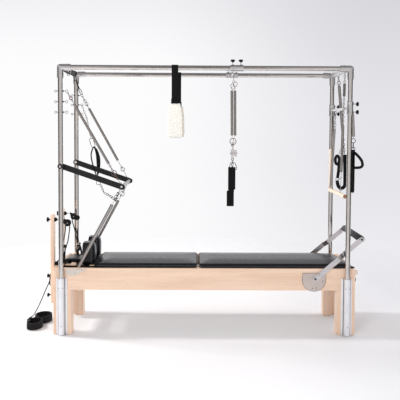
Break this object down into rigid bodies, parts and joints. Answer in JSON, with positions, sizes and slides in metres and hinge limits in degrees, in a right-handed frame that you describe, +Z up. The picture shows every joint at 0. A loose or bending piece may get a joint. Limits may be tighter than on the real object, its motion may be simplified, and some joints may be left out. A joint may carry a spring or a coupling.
{
  "type": "pilates reformer with trapeze frame",
  "caption": "Wooden sliding-carriage exercise bed with a tubular overhead frame, footbar, sprung push bar, pulleys, hanging loops and a mat section.",
  "frame": {"origin": "on the floor, under the middle of the object's length and width", "axes": "+X along the bed from the head end to the foot end, +Y across it to the far side, +Z up"},
  "size_m": [2.7773, 0.766, 2.216],
  "materials": {
    "beech": "clear satin lacquer",
    "satin_steel": "satin stainless",
    "bright_alloy": "polished",
    "black_vinyl": "matt upholstery vinyl over foam",
    "black_plastic": "black powder coat",
    "wheel_rubber": "matt",
    "black_webbing": "woven webbing",
    "black_rope": "braided",
    "cream_fleece": "short fleece"
  },
  "bodies": {
    "frame": {"rail_near": "beech", "riser_near": "beech", "footbar_plate_near": "satin_steel", "top_tube_near": "satin_steel", "upper_spring_near": "satin_steel", "lower_spring_near": "satin_steel", "rope_near": "black_rope", "leg_near_left": "beech", "post_socket_near_left": "bright_alloy", "post_near_left": "satin_steel", "leg_near_right": "beech", "post_socket_near_right": "bright_alloy", "post_near_right": "satin_steel", "rail_far": "beech", "riser_far": "beech", "footbar_plate_far": "satin_steel", "top_tube_far": "satin_steel", "upper_spring_far": "satin_steel", "lower_spring_far": "satin_steel", "rope_far": "black_rope", "leg_far_left": "beech", "post_socket_far_left": "bright_alloy", "post_far_left": "satin_steel", "leg_far_right": "beech", "post_socket_far_right": "bright_alloy", "post_far_right": "satin_steel", "end_board_left": "beech", "top_end_left": "bright_alloy", "end_board_right": "beech", "top_end_right": "bright_alloy", "floor_rope": "black_rope", "floor_loops": "black_webbing", "safety_strap": "satin_steel", "end_spring_near": "satin_steel", "end_spring_far": "satin_steel"},
    "carriage": {"carriage_frame": "black_plastic", "carriage_pad": "black_vinyl", "shoulder_rest_near": "black_vinyl", "shoulder_rest_far": "black_vinyl"},
    "wheels_head": {"wheelset_head": "wheel_rubber"},
    "wheels_foot": {"wheelset_foot": "wheel_rubber"},
    "head_support": {"headrest": "black_vinyl"},
    "mat": {"mat_pad": "black_vinyl"},
    "push_bar": {"push_bar_frame": "black_plastic"},
    "footbar": {"footbar_frame": "satin_steel", "footbar_grip": "black_vinyl"},
    "sheave_near": {"pulley_near": "black_plastic"},
    "sheave_far": {"pulley_far": "black_plastic"},
    "slider": {"trapeze_slider": "bright_alloy"},
    "hanger": {"trapeze_springs": "satin_steel", "trapeze_cuff": "black_webbing"},
    "loop_near": {"fleece_loop_near": "cream_fleece"},
    "loop_far": {"fleece_loop_far": "cream_fleece"},
    "crossbar": {"end_crossbar": "bright_alloy", "roll_down_bar": "beech", "roll_spring_far": "satin_steel", "hand_loop_inner": "black_webbing", "hung_handle": "beech"},
    "outer_loop": {"outer_spring": "satin_steel", "hand_loop_outer": "black_webbing"}
  },
  "joints": [
    {"name": "carriage_slide", "type": "slide", "parent": "frame", "child": "carriage", "axis": [1, 0, 0], "range_m": [-0.044, 0.01]},
    {"name": "wheels_head_spin", "type": "hinge", "parent": "carriage", "child": "wheels_head", "pos_m": [-0.86, 0, 0.4803], "axis": [0, 1, 0], "range_deg": [-90, 30]},
    {"name": "wheels_foot_spin", "type": "hinge", "parent": "carriage", "child": "wheels_foot", "pos_m": [-0.16, 0, 0.4803], "axis": [0, 1, 0], "range_deg": [-90, 30]},
    {"name": "headrest_hinge", "type": "hinge", "parent": "carriage", "child": "head_support", "pos_m": [-1.03, 0, 0.548], "axis": [0, 1, 0], "range_deg": [0, 35]},
    {"name": "mat_lift", "type": "slide", "parent": "frame", "child": "mat", "axis": [0, 0, 1], "range_m": [0, 0.25]},
    {"name": "push_bar_hinge", "type": "hinge", "parent": "frame", "child": "push_bar", "pos_m": [-1.15, 0, 1.364], "axis": [0, -1, 0], "range_deg": [-40, 85], "stiffness_Nm_per_rad": 120, "springref_deg": 8.14, "deforming": ["upper_spring_near", "upper_spring_far", "lower_spring_near", "lower_spring_far", "safety_strap"]},
    {"name": "footbar_hinge", "type": "hinge", "parent": "frame", "child": "footbar", "pos_m": [0.894, 0, 0.461], "axis": [0, -1, 0], "range_deg": [-12, 65]},
    {"name": "pulley_near_spin", "type": "hinge", "parent": "frame", "child": "sheave_near", "pos_m": [-1.125, -0.2, 0.89], "axis": [0, 1, 0], "continuous": true},
    {"name": "pulley_far_spin", "type": "hinge", "parent": "frame", "child": "sheave_far", "pos_m": [-1.148, 0.2, 0.89], "axis": [0, 1, 0], "continuous": true},
    {"name": "trapeze_slide", "type": "slide", "parent": "frame", "child": "slider", "axis": [1, 0, 0], "range_m": [-0.35, 0.75]},
    {"name": "hanger_swing", "type": "hinge", "parent": "slider", "child": "hanger", "pos_m": [0.247, 0, 2.148], "axis": [0, 1, 0], "range_deg": [-30, 30]},
    {"name": "fleece_near_swing", "type": "hinge", "parent": "frame", "child": "loop_near", "pos_m": [-0.2425, -0.35, 2.148], "axis": [1, 0, 0], "range_deg": [-25, 25]},
    {"name": "fleece_far_swing", "type": "hinge", "parent": "frame", "child": "loop_far", "pos_m": [-0.234, 0.35, 2.148], "axis": [1, 0, 0], "range_deg": [-25, 25]},
    {"name": "crossbar_slide", "type": "slide", "parent": "frame", "child": "crossbar", "axis": [0, 0, 1], "range_m": [-0.35, 0.17], "deforming": ["end_spring_near", "end_spring_far"]},
    {"name": "outer_loop_swing", "type": "hinge", "parent": "crossbar", "child": "outer_loop", "pos_m": [1.18, -0.35, 1.8055], "axis": [-1, 0, 0], "range_deg": [0, 20]}
  ],
  "couplings": [
    {"joint": "wheels_head_spin", "follows": "carriage_slide", "rad_per_m": 33.333},
    {"joint": "wheels_foot_spin", "follows": "carriage_slide", "rad_per_m": 33.333}
  ]
}
